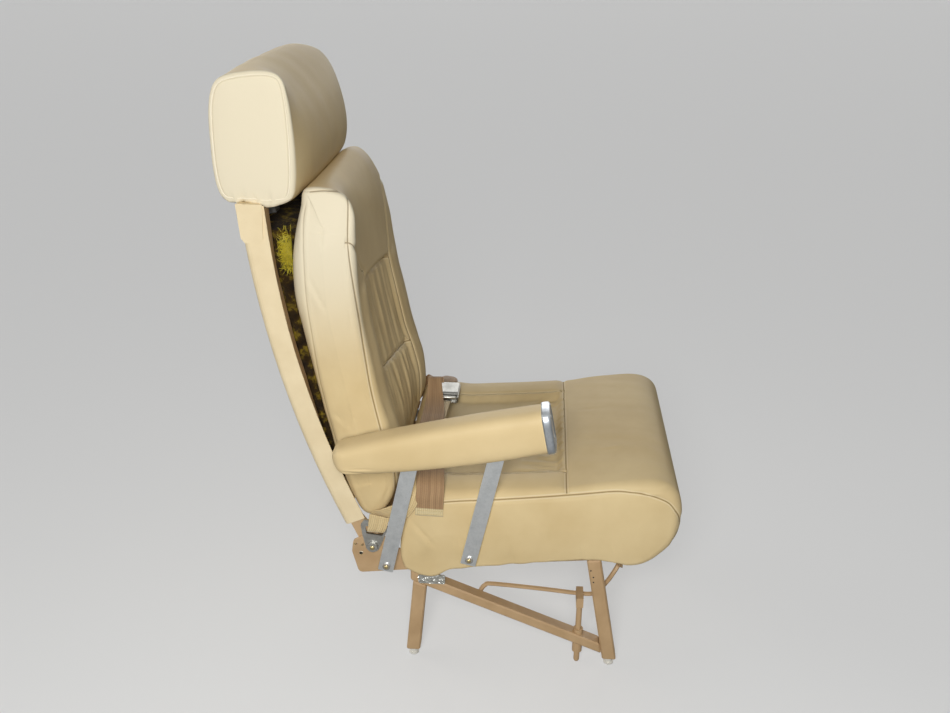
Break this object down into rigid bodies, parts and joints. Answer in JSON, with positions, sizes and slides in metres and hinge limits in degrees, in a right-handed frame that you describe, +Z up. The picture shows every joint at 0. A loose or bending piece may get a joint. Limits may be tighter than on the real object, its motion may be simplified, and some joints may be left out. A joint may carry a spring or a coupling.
{
  "type": "aircraft passenger seat",
  "caption": "Single reclining aircraft passenger seat with leather cushions, wide headrest, folding armrest on parallel links, lap belt and floor-lock bail handle.",
  "frame": {"origin": "middle of the seat's overall box, at the level its foot studs stand on", "axes": "+Z up, the occupant faces -Y, and the armrest side is -X"},
  "size_m": [0.5355, 0.7346, 1.0042],
  "materials": {
    "tan_paint": "satin",
    "cream_leather": "satin",
    "bright_aluminium": "satin",
    "bare_steel": "satin",
    "chromed_buckle": "polished",
    "tan_webbing": "matte",
    "yellow_batting": "matte",
    "dark_cylinder": "satin"
  },
  "bodies": {
    "frame": {"right_front_leg": "tan_paint", "left_front_leg": "tan_paint", "right_rear_leg": "tan_paint", "left_rear_leg": "tan_paint", "right_diagonal_tube": "tan_paint", "left_diagonal_tube": "tan_paint", "right_side_rail": "tan_paint", "left_side_rail": "tan_paint", "front_cross_tube": "tan_paint", "rear_cross_tube": "tan_paint", "right_side_plate": "tan_paint", "left_side_plate": "tan_paint", "right_front_foot_stud": "bare_steel", "right_rear_foot_stud": "bare_steel", "left_front_foot_stud": "bare_steel", "left_rear_foot_stud": "bare_steel", "right_plunger_boss": "tan_paint", "left_plunger_boss": "tan_paint", "corner_plate": "bright_aluminium", "seat_pan": "bright_aluminium", "seat_cushion": "cream_leather", "right_recline_bolt": "bare_steel", "left_recline_bolt": "bare_steel", "rear_link_bolt": "bare_steel", "front_link_bolt": "bare_steel", "lock_cylinder": "dark_cylinder", "lock_bracket": "tan_paint", "right_belt_shackle": "bare_steel", "left_belt_shackle": "bare_steel", "right_anchor_strap": "tan_webbing", "left_anchor_strap": "tan_webbing", "belt_tail": "tan_webbing", "belt_tongue": "bare_steel", "buckle_body": "chromed_buckle"},
    "backrest": {"back_shell": "tan_paint", "right_back_arm": "tan_paint", "left_back_arm": "tan_paint", "torque_tube": "tan_paint", "back_cushion": "cream_leather", "back_padding": "yellow_batting", "right_post_guide": "bright_aluminium", "left_post_guide": "bright_aluminium"},
    "headrest": {"headrest_pad": "cream_leather", "right_headrest_post": "bare_steel", "left_headrest_post": "bare_steel", "right_headrest_tab": "cream_leather", "left_headrest_tab": "cream_leather"},
    "lock_rod": {"lock_rod": "bare_steel"},
    "rear_link": {"armrest_rear_link": "bright_aluminium"},
    "front_link": {"armrest_front_link": "bright_aluminium"},
    "armrest": {"armrest_pad": "cream_leather", "armrest_core": "bright_aluminium", "armrest_end_cap": "bright_aluminium", "rear_link_upper_pin": "bare_steel", "front_link_upper_pin": "bare_steel"},
    "bail": {"bail_handle": "tan_paint"},
    "right_plunger": {"right_plunger": "bare_steel"},
    "left_plunger": {"left_plunger": "bare_steel"},
    "buckle_lever": {"buckle_lever": "chromed_buckle"}
  },
  "joints": [
    {"name": "recline", "type": "hinge", "parent": "frame", "child": "backrest", "pos_m": [0.0373, 0.13955, 0.2297], "axis": [-1, 0, 0], "range_deg": [0, 25]},
    {"name": "lock_rod_slide", "type": "slide", "parent": "frame", "child": "lock_rod", "axis": [0, -1, 0], "range_m": [0, 0.0218]},
    {"name": "headrest_height", "type": "slide", "parent": "backrest", "child": "headrest", "axis": [0, 0.1513, 0.9885], "range_m": [0, 0.045]},
    {"name": "rear_link_fold", "type": "hinge", "parent": "frame", "child": "rear_link", "pos_m": [-0.2032, 0.11445, 0.2029], "axis": [1, 0, 0], "range_deg": [0, 57]},
    {"name": "front_link_fold", "type": "hinge", "parent": "frame", "child": "front_link", "pos_m": [-0.2032, -0.02315, 0.2225], "axis": [1, 0, 0], "range_deg": [0, 57]},
    {"name": "armrest_level", "type": "hinge", "parent": "rear_link", "child": "armrest", "pos_m": [-0.2032, 0.06331, 0.43944], "axis": [1, 0, 0], "range_deg": [-57, 0]},
    {"name": "bail_lift", "type": "hinge", "parent": "frame", "child": "bail", "pos_m": [0.0373, -0.04025, 0.121], "axis": [-1, 0, 0], "range_deg": [0, 4.2]},
    {"name": "right_plunger_slide", "type": "slide", "parent": "frame", "child": "right_plunger", "axis": [0, 0, 1], "range_m": [0, 0.0126]},
    {"name": "left_plunger_slide", "type": "slide", "parent": "frame", "child": "left_plunger", "axis": [0, 0, 1], "range_m": [0, 0.0126]},
    {"name": "buckle_lever_lift", "type": "hinge", "parent": "frame", "child": "buckle_lever", "pos_m": [0.1423, 0.05075, 0.358], "axis": [0, -1, 0], "range_deg": [0, 60], "stiffness_Nm_per_rad": 0.05}
  ],
  "couplings": [
    {"joint": "lock_rod_slide", "follows": "recline", "m_per_rad": 0.0496},
    {"joint": "front_link_fold", "follows": "rear_link_fold", "ratio": 1},
    {"joint": "armrest_level", "follows": "rear_link_fold", "ratio": -1},
    {"joint": "right_plunger_slide", "follows": "bail_lift", "m_per_rad": 0.171},
    {"joint": "left_plunger_slide", "follows": "bail_lift", "m_per_rad": 0.171}
  ]
}
